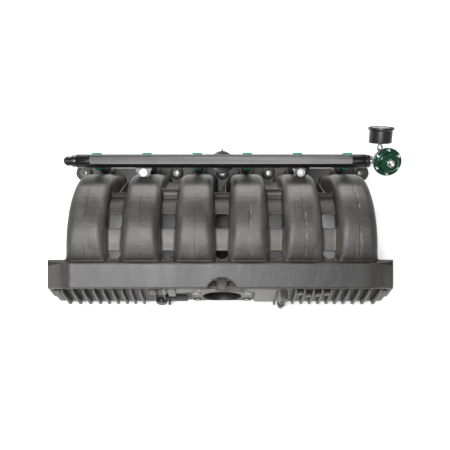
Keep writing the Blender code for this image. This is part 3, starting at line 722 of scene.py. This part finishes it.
def plenum_top():
    """The sloping face with turned-down ends, its back groove and the arch over the throat."""
    top = [
        (-0.2048, SPLIT_Z), (-0.2048, 0.0840), (-0.2105, 0.0865), (-0.2150, 0.0935),
        (-0.2175, 0.0968), (-0.2195, 0.0970), (-0.2540, 0.0770), (-0.2545, 0.0745),
        (-0.2502, 0.0690), (-0.2497, SPLIT_Z),
    ]
    hollow = [
        (-0.2088, SPLIT_Z - 0.01), (-0.2088, 0.0800), (-0.2190, 0.0910), (-0.2485, 0.0740),
        (-0.2456, 0.0690), (-0.2456, SPLIT_Z - 0.01),
    ]
    shape = face_prism([(232, 199.5), (286, 181.1), (290, 178.5), (291, 174), (291, 100)])
    inside = face_prism([(229, 195), (283, 175.7), (286, 171), (286, 90)])
    solid = combine("INTERSECT", yz_prism(top, -LONG_X, LONG_X), shape)
    hole = combine("INTERSECT", yz_prism(hollow, -LONG_X, LONG_X), inside)
    solid = cut(solid, hole)
    hood = cylinder(0.0300, 0.024, ARCH @ move(0, 0, -0.0125), 64)
    hood = combine("INTERSECT", yz_prism(top, -0.1, 0.1), hood)
    solid = combine("UNION", solid, hood)
    solid = cut(solid, cylinder(0.0260, 0.032, ARCH @ move(0, 0, -0.005), 64))
    for x in PORTS:
        solid = cut(solid, box((x - 0.032, -0.215, 0.0660), (x + 0.032, -0.200, 0.0838)))
    return solid


def dome():
    """The funnel over the throat, from behind the throttle flange up under the arch."""
    rings = []
    base = THROTTLE @ move(0, 0, -0.0045)
    crown = move(0, -0.2405, 0.0705)
    for k in range(9):
        t = k / 8
        radius = 0.0352 * (1 - t) ** 1.25 + 0.0082 * t
        ring = []
        for j in range(48):
            a = 2 * math.pi * j / 48
            spot = Vector((radius * math.cos(a), radius * math.sin(a), 0))
            ring.append((base @ spot).lerp(crown @ spot, t))
        rings.append(ring)
    return loft(rings)


def moulding_top():
    parts = [flange_plate(), plenum_top()]
    parts += [runner_tube(x, WALL) for x in PORTS]
    parts += [web(x, k) for k, x in enumerate(GAPS)]
    for x in (-BRACKET_X, BRACKET_X):
        parts.append(cylinder(0.0080, 0.026, flange(x, 0.0260, 0.0970), 32))
    fuse = {"mode": "VOXEL", "voxel_size": VOXEL, "adaptivity": 0.0}
    smooth = {"factor": 0.5, "iterations": 4}
    mesh = evaluated(joined(parts), ("REMESH", fuse), ("SMOOTH", smooth))
    nodes = ["upper_shell", "head_flange"]
    nodes += [f"runner_{i}" for i in range(1, 7)] + [f"web_{i}" for i in range(1, 6)]
    add("runner_moulding", mesh, "nylon", replaces=nodes, angle=60)


# ---------------------------------------------------------------- plenum bottom
# The ribs stand at these x in mm.
LEFT_RIBS = [-270, -252, -234, -216.5, -200.5, -184.6, -168.6, -153.9, -138.2]
RIGHT_RIBS = [125, 140, 155, 170, 185, 200, 215, 232, 249, 268]


def moulding_bottom():
    """The front wall with its comb of ribs, pads, the recess round the throat and the flange."""
    bottom = [
        (-0.2050, SPLIT_Z - 0.0008), (-0.2485, SPLIT_Z - 0.0008), (-0.2460, 0.0540),
        (-0.2450, -0.0040), (-0.2400, -0.0120), (-0.2320, FLOOR_Z + 0.0003),
        (-0.2220, FLOOR_Z + 0.0003), (-0.2050, -0.0020),
    ]
    inside = [
        (-0.2088, SPLIT_Z + 0.0100), (-0.2445, SPLIT_Z + 0.0100), (-0.2425, 0.0540),
        (-0.2412, -0.0030), (-0.2375, -0.0095), (-0.2305, FLOOR_Z + 0.0035),
        (-0.2240, FLOOR_Z + 0.0035), (-0.2088, 0.0000),
    ]
    ends = outline_ends([(288, 70), (291, 54), (291, 22), (275, 0), (268, -30)])
    in_ends = outline_ends([(284, 75), (287, 54), (287, 23.5), (271, 2.5), (264, -25)])
    solid = combine("INTERSECT", yz_prism(bottom, -LONG_X, LONG_X), ends)
    hole = combine("INTERSECT", yz_prism(inside, -LONG_X, LONG_X), in_ends)
    hole = cut(hole, box((-0.066, -0.27, -0.03), (0.066, -0.2350, 0.056)))
    hole = cut(hole, box((-0.104, -0.27, -0.001), (-0.043, -0.2350, 0.0390)))
    pocket = box((-0.062, -0.27, -0.03), (0.062, -0.2385, 0.052))
    side_pocket = box((-0.100, -0.27, 0.0030), (-0.047, -0.2385, 0.0345))
    solid = cut(cut(cut(solid, pocket), side_pocket), hole)
    plate = rounded_rectangle(0.0525, 0.0340, 0.011, 8)
    for kind, other in (
        ("UNION", cylinder(0.0357, 0.013, THROTTLE @ move(0, 0, -0.0085), 96)),
        ("UNION", dome()),
        ("UNION", outline(plate, 0.005, THROTTLE @ move(0, 0, -0.0038))),
        ("DIFFERENCE", cylinder(BORE_R, 0.05, THROTTLE @ move(0, 0, -0.004), 96)),
    ):
        solid = combine(kind, solid, other)
    for x, y in INSERTS:
        place = THROTTLE @ move(x, y, 0)
        solid = combine("UNION", solid, cylinder(0.0078, 0.0080, place @ move(0, 0, -0.0042), 40))
        solid = cut(solid, cylinder(0.0043, 0.017, place, 32))
    solid = rounded(solid, 0.0009, 2, 35)
    parts = [solid]
    fin = [(-0.2435, 0.0592), (-0.2500, 0.0592), (-0.2534, 0.0560), (-0.2534, 0.0040)]
    fin += [(-0.2520, -0.0020), (-0.2490, -0.0050), (-0.2430, -0.0050)]
    for x in LEFT_RIBS + RIGHT_RIBS:
        parts.append(rounded(yz_prism(fin, x * MM - 0.0017, x * MM + 0.0017), 0.0006, 2))
    parts += front_details()
    add("plenum_bottom", joined(parts), "nylon_low", replaces=["lower_shell"])


def outline_ends(half):
    turned = Matrix(((1, 0, 0, 0), (0, 0, -1, -0.23), (0, 1, 0, 0), (0, 0, 0, 1)))
    return outline(end_outline(half), 0.12, turned)


def front_details():
    """Chamfered pads, ledges, small ribs, nubs and hooks between the two combs."""
    blocks = [
        ((-0.1235, -0.2525, 0.0430), (-0.1105, -0.2440, 0.0600)),
        ((-0.1075, -0.2525, 0.0430), (-0.0945, -0.2440, 0.0600)),
        ((-0.0915, -0.2525, 0.0360), (-0.0790, -0.2440, 0.0600)),
        ((-0.0770, -0.2500, 0.0470), (-0.0420, -0.2380, 0.0600)),
        ((0.0420, -0.2500, 0.0470), (0.0620, -0.2380, 0.0600)),
        ((0.0560, -0.2505, 0.0060), (0.0930, -0.2440, 0.0600)),
        ((-0.1170, -0.2520, 0.0180), (-0.1140, -0.2440, 0.0440)),
        ((-0.1010, -0.2520, 0.0180), (-0.0980, -0.2440, 0.0440)),
        ((0.0955, -0.2600, 0.0285), (0.1125, -0.2430, 0.0440)),
    ]
    parts = [rounded(box(low, high), 0.0018, 3) for low, high in blocks]
    for x, z in ((-0.0930, 0.0010), (0.0925, 0.0010)):
        parts.append(cylinder(0.0022, 0.012, along_y(x, -0.2480, z), 24))
    for x, z in ((0.1330, 0.0420), (0.1480, 0.0330), (0.1640, 0.0360), (0.1790, 0.0400)):
        hook = [(-0.2445, z), (-0.2525, z), (-0.2535, z + 0.008), (-0.2515, z + 0.0085)]
        hook += [(-0.2505, z + 0.004), (-0.2445, z + 0.004)]
        parts.append(yz_prism(hook, x - 0.0045, x + 0.0045))
    for x in (END_SHIFT - 0.2790, END_SHIFT + 0.2790):
        pad = box((x - 0.006, -0.2490, 0.0060), (x + 0.006, -0.2440, 0.0500))
        parts.append(rounded(pad, 0.0020, 3))
    return parts


# ---------------------------------------------------------------- metal parts
def tube_profile(outer, inner, top, bottom):
    """A closed loop of (radius, height) points for a ring or sleeve."""
    return [(outer, top), (outer, bottom), (inner, bottom), (inner, top), (outer, top)]


def sleeves():
    profile = tube_profile(0.0058, 0.0044, 0.0254, 0.0004)
    for k, x in enumerate(BOLTS, 1):
        mesh = lathe(profile, flange(x, BOLT_S, 0), 0.0005)
        add(f"sleeve_{k}", mesh, "sleeve", replaces=[f"bolt_sleeve_{k}"])


def inserts():
    profile = [(0.0041, -0.0002), (0.0041, -0.0075)]
    for j in range(8):
        profile += [(0.0027, -0.0075 + 0.0009 * j), (0.0023, -0.0070 + 0.0009 * j)]
    profile += [(0.0027, -0.0002), (0.0041, -0.0002)]
    for k, (x, y) in enumerate(INSERTS, 1):
        mesh = lathe(profile, THROTTLE @ move(x, y, 0), 0.0001, 32)
        add(f"insert_{k}", mesh, "brass", replaces=[f"throttle_insert_{k}"])


def rail():
    length, middle = 0.510, -0.002
    place = along_x(0, RAIL.y, RAIL.z)
    tube = cylinder(0.012, length, place @ move(0, 0, middle), 96)
    view = move(0, RAIL.y, RAIL.z) @ turn(30, "X")
    panel = rounded_rectangle(0.231, 0.0074, 0.0050, 8)
    flat = outline(panel, 0.010, view @ move(middle, 0, 0.0152))
    tube = cut(tube, flat, cylinder(0.007, 0.54, place @ move(0, 0, middle), 64))
    tube = rounded(tube, 0.0005, 2, 25)
    obj = add("rail_tube", tube, ["rail", "flat"], replaces=["fuel_rail"])
    up = (view.to_3x3() @ Vector((0, 0, 1))).normalized()
    centre = view.to_translation()
    for face in obj.data.polygons:
        high = (face.center - centre).dot(up)
        if face.normal.dot(up) > 0.98 and abs(high - 0.0102) < 0.0004:
            face.material_index = 1
    left = along_x(-0.257, RAIL.y, RAIL.z)
    flare = [
        (0.0045, -0.0222), (0.0058, -0.0222), (0.0086, -0.0180), (0.0086, -0.0165),
    ]
    for j in range(4):
        flare += [(0.0080, -0.0160 + 0.0015 * j), (0.0086, -0.0154 + 0.0015 * j)]
    flare += [
        (0.0078, -0.0096), (0.0078, -0.0084), (0.0104, -0.0082), (0.0104, -0.0003),
        (0.0066, -0.0003), (0.0066, 0.0100), (0.0045, 0.0100), (0.0045, -0.0222),
    ]
    mesh = lathe(flare, left, 0.0004)
    add("inlet_male_fitting", mesh, "black", replaces=["inlet_fitting"])
    right = along_x(0.253, RAIL.y, RAIL.z)
    collar = [
        (0.0112, 0.0075), (0.0112, 0.0003), (0.0066, 0.0003), (0.0066, -0.0100),
        (0.0045, -0.0100), (0.0045, 0.0075), (0.0112, 0.0075),
    ]
    mesh = lathe(collar, right, 0.0010)
    add("rail_end_collar", mesh, "black", replaces=["outlet_collar"])
    adapter = [
        (0.0095, 0.0120), (0.0095, 0.0078), (0.0042, 0.0078), (0.0042, -0.0050),
        (0.0028, -0.0050), (0.0028, 0.0240), (0.0055, 0.0240), (0.0055, 0.0120), (0.0095, 0.0120),
    ]
    mesh = lathe(adapter, right, 0.0006)
    add("adapter", mesh, "silver", replaces=["regulator_adapter"])


def hex_head(across, height, matrix, hole=None):
    """A hexagon with turned corners, as a bolt head or nut."""
    upright = Matrix.Identity(4)
    top = height * 0.5
    trim = [(0.0, top + 0.001), (across * 0.43, top + 0.001), (across * 0.62, top - across * 0.11)]
    trim += [(across * 0.62, -height), (0.0, -height)]
    mesh = cylinder(across / 1.732, height, upright, 6)
    mesh = combine("INTERSECT", mesh, lathe(trim, upright, 0.0, 48))
    if hole:
        mesh = cut(mesh, cylinder(hole, height * 3, upright, 40))
    mesh = rounded(mesh, 0.00025, 2, 30)
    mesh.transform(matrix)
    return mesh


def brackets():
    corners = [(0, 41.8), (-15.8, 41.8), (-15.4, 36), (-8.6, 21.2)]
    corners += [(8.6, 21.2), (15.4, 36), (15.8, 41.8), (0, 41.8)]
    shape = soften([(x * MM, s * MM) for x, s in corners], 0.003, 4)[:-1]
    grommet = tube_profile(0.0086, 0.0034, 0.0024, 0.0015)
    washer = tube_profile(0.0069, 0.0031, 0.0034, 0.0025)
    button = [(0.0, 0.0066), (0.0044, 0.0066), (0.0056, 0.0058), (0.0056, 0.0030), (0.0, 0.0030)]
    shank = [(0.0, 0.0032), (0.0029, 0.0032), (0.0029, -0.0058), (0.0, -0.0058)]
    for name, x, injector_x, mat, slot in (
        ("left", -BRACKET_X, -INJECTOR_X, "bracket", "silver_steel"),
        ("right", BRACKET_X, INJECTOR_X, "black", "black_anodised"),
    ):
        place = flange(x, 0, 0.1135)
        near = place.inverted() @ injector_frame(injector_x)
        mesh = cut(outline(shape, 0.0028), cylinder(0.0100, 0.08, near, 48))
        mesh = cut(mesh, cylinder(0.0034, 0.02, move(0, 0.029, 0), 32))
        mesh = rounded(mesh, 0.0005, 2, 40)
        mesh.transform(place)
        add(f"bracket_{name}", mesh, mat, replaces=[f"rail_bracket_{name}"])
        seat = flange(x, 0.029, 0.1135)
        ring = lathe(grommet, seat, 0.0004)
        add(f"bracket_grommet_{name}", ring, "seal")
        head = cut(lathe(button, seat), cylinder(0.0026, 0.0050, seat @ move(0, 0, 0.0066), 6))
        mesh = joined([lathe(washer, seat, 0.0002), head, lathe(shank, seat)])
        add(f"bolt_{name}", mesh, "bolt", replaces=[f"bracket_bolt_{name}"])


def injectors():
    for k, x in enumerate(PORTS, 1):
        place = injector_frame(x)
        body = [
            (0.0, -0.0150), (0.0092, -0.0150), (0.0095, -0.0172), (0.0095, -0.0348),
            (0.0086, -0.0366), (0.0, -0.0366),
        ]
        green = lathe(body, place, 0.0008)
        shell = box((-0.0083, 0.0, -0.0280), (0.0083, 0.0193, -0.0166))
        pocket = box((-0.0066, 0.0075, -0.0268), (0.0066, 0.030, -0.0178))
        shell = rounded(cut(shell, pocket), 0.0009, 2, 40)
        latch = rounded(box((-0.0030, 0.0085, -0.0170), (0.0030, 0.0165, -0.0158)), 0.0004)
        for part in (shell, latch):
            part.transform(place)
        mesh = joined([green, shell, latch])
        add(f"injector_top_{k}", mesh, "teal", replaces=[f"injector_{k}"])
        pins = []
        for middle in (-0.0028, 0.0028):
            pin = box((middle - 0.0005, 0.006, -0.0228), (middle + 0.0005, 0.016, -0.0218))
            pin.transform(place)
            pins.append(pin)
        add(f"injector_pins_{k}", joined(pins), "silver")
        lower = [
            (0.0, -0.0368), (0.0088, -0.0368), (0.0088, -0.0410), (0.0078, -0.0420),
            (0.0078, -0.0455), (0.0, -0.0455),
        ]
        add(f"injector_collar_{k}", lathe(lower, place), "seal")
        steel = [
            (0.0, -0.0456), (0.0066, -0.0460), (0.0066, -0.0700), (0.0060, -0.0710),
            (0.0060, -0.0830), (0.0066, -0.0840), (0.0066, -0.0860), (0.0058, -0.0870),
            (0.0058, -0.0975), (0.0, -0.0980),
        ]
        add(f"injector_body_{k}", lathe(steel, place), "case")
        for tag, z, r in (("top", -0.0112, 0.0061), ("low", -0.0900, 0.0070)):
            mesh = lathe(tube_profile(r, 0.0050, z + 0.0012, z - 0.0012), place, 0.0011)
            add(f"injector_oring_{tag}_{k}", mesh, "seal")
        neck = [(0.0, -0.0079), (0.0056, -0.0079), (0.0056, -0.0150), (0.0, -0.0150)]
        add(f"injector_neck_{k}", lathe(neck, place), "silver")


def damper():
    place = flange(0, RAIL_S - 0.002, RAIL_H - 0.0325)
    can = [
        (0.0, 0.0188), (0.0098, 0.0188), (0.0098, 0.0150), (0.0195, 0.0140), (0.0206, 0.0125),
        (0.0206, 0.0100), (0.0196, 0.0092), (0.0196, 0.0074), (0.0206, 0.0066), (0.0206, 0.0030),
        (0.0190, 0.0012), (0.0118, 0.0), (0.0118, -0.0058), (0.0, -0.0058),
    ]
    mesh = lathe(can, place, 0.0006, 72)
    add("damper_can", mesh, "black", replaces=["pulse_damper"])
    bead = tube_profile(0.0208, 0.0203, 0.0118, 0.0106)
    add("damper_bead", lathe(bead, place, 0.0001, 96), "flat")
    tip = [(0.0, 0.0), (0.0017, 0.0), (0.0013, 0.0030), (0.0017, 0.0036), (0.0, 0.0042)]
    mesh = lathe(tip, place @ move(0, 0.0200, 0.0112) @ turn(-90, "X"), 0.0003, 24)
    add("damper_tip", mesh, "case")


def bonnet_screw(k, z):
    """One bonnet screw's place at a height above the regulator's joint."""
    angle = math.radians(30 + 60 * k)
    return REG @ move(0.0208 * math.cos(angle), 0.0208 * math.sin(angle), z)


def regulator():
    body = [
        (0.0245, 0.0046), (0.0245, 0.0024), (0.0172, 0.0022), (0.0168, -0.0080),
        (0.0170, -0.0160), (0.0170, -0.0236), (0.0150, -0.0260), (0.0050, -0.0260),
        (0.0050, -0.0100), (0.0130, -0.0060), (0.0130, 0.0046), (0.0245, 0.0046),
    ]
    mesh = lathe(body, REG, 0.0007, 80)
    port = cylinder(0.0059, 0.02, REG @ along_x(-0.0178, 0, -0.004), 40)
    tap = cylinder(0.0040, 0.02, REG @ move(-0.010, 0.012, -0.012) @ turn(-90, "X"), 32)
    mesh = cut(mesh, port, tap)
    add("regulator_base", mesh, "bracket", replaces=["regulator_body"])
    bonnet = [
        (0.0142, 0.0220), (0.0156, 0.0206), (0.0160, 0.0150), (0.0163, 0.0092), (0.0172, 0.0084),
        (0.0238, 0.0082), (0.0245, 0.0074), (0.0245, 0.0051), (0.0120, 0.0051), (0.0120, 0.0190),
        (0.0043, 0.0190), (0.0043, 0.0220), (0.0142, 0.0220),
    ]
    mesh = lathe(bonnet, REG, 0.0005, 80)
    holes = [cylinder(0.0017, 0.01, bonnet_screw(k, 0.0065), 20) for k in range(6)]
    mesh = cut(mesh, joined(holes))
    add("regulator_cap", mesh, "green", replaces=["regulator_bonnet"])
    head = [(0.0, 0.0), (0.0024, 0.0), (0.0028, -0.0006), (0.0028, -0.0026), (0.0014, -0.0026)]
    head += [(0.0014, -0.0072), (0.0, -0.0072)]
    for k in range(6):
        place = bonnet_screw(k, 0.0110)
        mesh = cut(lathe(head, place, 0.0002, 32), cylinder(0.0013, 0.0030, place, 6))
        node = f"bonnet_screw_{k + 1}"
        add(f"cap_screw_{k + 1}", mesh, "silver", replaces=[node])
    screw = [(0.0, 0.0175), (0.0036, 0.0175), (0.0040, 0.0171)]
    for j in range(16):
        screw += [(0.0040, 0.0165 - 0.001 * j), (0.0036, 0.0160 - 0.001 * j)]
    screw += [(0.0036, 0.0), (0.0, 0.0)]
    place = REG @ move(0, 0, 0.0168)
    socket = cylinder(0.0021, 0.009, place @ move(0, 0, 0.0175), 6)
    mesh = cut(lathe(screw, place, 0.00015, 40), socket)
    node = "adjusting_screw"
    add("set_screw", mesh, "silver", body=node, replaces=[node])
    mesh = hex_head(0.0124, 0.0046, REG @ move(0, 0, 0.0247), 0.0042)
    add("lock_nut", mesh, "silver", body="jam_nut", replaces=["jam_nut"])


def gauge():
    stem = [
        (0.0, 0.0330), (0.0045, 0.0330), (0.0045, 0.0284), (0.0040, 0.0280), (0.0040, 0.0196),
        (0.0036, 0.0190), (0.0036, 0.0080), (0.0, 0.0080),
    ]
    hexagon = hex_head(0.0106, 0.0060, GAUGE @ move(0, 0, 0.0230))
    mesh = joined([lathe(stem, GAUGE), hexagon])
    add("gauge_connection", mesh, "silver", replaces=["gauge_stem"])
    case = [
        (0.0222, 0.0586), (0.0226, 0.0580), (0.0226, 0.0548), (0.0220, 0.0540), (0.0202, 0.0536),
        (0.0200, 0.0520), (0.0200, 0.0330), (0.0188, 0.0312), (0.0060, 0.0310), (0.0049, 0.0312),
        (0.0049, 0.0340), (0.0180, 0.0340), (0.0180, 0.0560), (0.0210, 0.0562), (0.0212, 0.0586),
        (0.0222, 0.0586),
    ]
    mesh = lathe(case, GAUGE, 0.0006, 96)
    add("gauge_housing", mesh, "case", replaces=["gauge_case"])
    ticks = []
    for k in range(31):
        a = math.radians(225 - 9 * k)
        long = k % 5 == 0
        inner = 0.0130 if long else 0.0143
        wide = 0.00035 if long else 0.0002
        mark = box((inner, -wide, 0.0512), (0.0160, wide, 0.05135), Matrix.Rotation(a, 4, "Z"))
        mark.transform(GAUGE)
        ticks.append(mark)
    add("dial_marks", joined(ticks), "ink")
    face = [(0.0, 0.0512), (0.0176, 0.0512), (0.0176, 0.0500), (0.0, 0.0500)]
    mesh = lathe(face, GAUGE, 0.0002, 72)
    add("dial_face", mesh, "dial", replaces=["gauge_dial"])
    lens = [(0.0, 0.0582), (0.0150, 0.0580), (0.0208, 0.0577), (0.0208, 0.0564), (0.0, 0.0564)]
    mesh = lathe(lens, GAUGE, 0.0003, 72)
    add("gauge_window", mesh, "glass", replaces=["gauge_lens"])
    place = GAUGE @ move(0, 0, 0.0530) @ turn(135, "Z")
    hub = [(0.0, 0.0005), (0.0016, 0.0004), (0.0016, -0.0008), (0.0, -0.0008)]
    pointer = [(-0.0010, -0.005), (0.0010, -0.005), (0.0007, 0.0005), (0.0002, 0.0133)]
    pointer += [(-0.0002, 0.0133), (-0.0007, 0.0005)]
    mesh = joined([lathe(hub, place, 0.0002, 32), outline(pointer, 0.0005, place)])
    node = "gauge_needle"
    add("pointer", mesh, "needle", body=node, replaces=[node])


def small_parts():
    union = [
        (0.0, 0.0340), (0.0050, 0.0340), (0.0067, 0.0315), (0.0067, 0.0245), (0.0053, 0.0238),
        (0.0053, 0.0170), (0.0067, 0.0160), (0.0067, 0.0100), (0.0054, 0.0092), (0.0054, 0.0006),
        (0.0040, 0.0), (0.0, 0.0),
    ]
    mesh = lathe(union, move(0.104, -0.2535, -0.006), 0.0004)
    add("hose_union", mesh, "case", replaces=["vacuum_nipple"])
    plug = [(0.0, 0.0083), (0.0072, 0.0083), (0.0095, 0.0062), (0.0097, 0.0002), (0.0, 0.0002)]
    mesh = lathe(plug, along_y(-0.107, -0.2459, 0.0065), 0.0008)
    add("plug", mesh, "case", replaces=["sensor_plug"])


def spring():
    """The regulator's coil spring, at one fixed length on a mesh of its own; the real one shortens
    as the seat is screwed down.
    """
    low, high, coil, wire, turns, steps = 0.0056, 0.0134, 0.0085, 0.0008, 3, 28
    rings = []
    for k in range(turns * steps + 1):
        turned = 2 * math.pi * k / steps
        out = Vector((math.cos(turned), math.sin(turned), 0))
        centre = out * coil + Vector((0, 0, low + (high - low) * k / (turns * steps)))
        ring = []
        for j in range(10):
            a = 2 * math.pi * j / 10
            lift = Vector((0, 0, wire * math.sin(a)))
            ring.append(REG @ (centre + out * wire * math.cos(a) + lift))
        rings.append(ring)
    mesh = loft(rings)
    obj = add("coil_spring", mesh, "bolt", replaces=["regulator_spring"])
    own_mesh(obj)


def hidden_parts():
    """Inner pieces keep the modelled shape and take the detailed materials."""
    for node, mat in (("regulator_diaphragm", "rubber"), ("spring_seat", "silver")):
        materials = bpy.data.objects[node].data.materials
        materials.clear()
        materials.append(MATS[mat])


# ---------------------------------------------------------------- stage
def camera():
    cam = bpy.data.cameras.new("camera")
    cam.lens = 40.0
    cam.sensor_width = 36.0
    cam.clip_start = 0.05
    cam.clip_end = 20
    obj = bpy.data.objects.new("camera", cam)
    SCENE.collection.objects.link(obj)
    obj.location = (0.0051, -0.5756, 0.8417)
    obj.rotation_euler = (math.radians(30), 0, 0)
    SCENE.camera = obj


def area(name, place, target, size, power, size_y=None):
    light = bpy.data.lights.new(name, "AREA")
    light.shape = "RECTANGLE"
    light.size = size
    light.size_y = size_y or size
    light.energy = power
    obj = bpy.data.objects.new(name, light)
    SCENE.collection.objects.link(obj)
    obj.location = place
    obj.rotation_euler = (Vector(target) - Vector(place)).to_track_quat("-Z", "Y").to_euler()


def stage():
    bm = bmesh.new()
    bmesh.ops.create_grid(bm, x_segments=1, y_segments=1, size=4.0)
    floor = bpy.data.objects.new("floor", mesh_from(bm, False))
    floor.location = (0, 0, CAD_BOX[0][2] - 0.0005)
    SCENE.collection.objects.link(floor)
    n = Nodes("floor_paper")
    tone = n.ramp(n.noise(3, 2), [(0.3, 0.93), (0.7, 0.96)])
    floor.data.materials.append(n.finish(tone, 0.8))
    world = bpy.data.worlds.new("world")
    world.use_nodes = True
    world.node_tree.nodes["Background"].inputs["Color"].default_value = (1, 1, 1, 1)
    world.node_tree.nodes["Background"].inputs["Strength"].default_value = 0.26
    SCENE.world = world
    area("key", (-0.26, -0.88, 1.40), (0, -0.15, 0.04), 0.9, 36)
    area("back", (0.00, 1.25, 0.75), (0, -0.05, 0.05), 1.6, 26, size_y=0.35)
    SCENE.view_settings.view_transform = "Standard"


def main():
    camera()
    moulding_top()
    moulding_bottom()
    sleeves()
    inserts()
    rail()
    brackets()
    injectors()
    damper()
    regulator()
    gauge()
    small_parts()
    spring()
    hidden_parts()
    stage()


main()
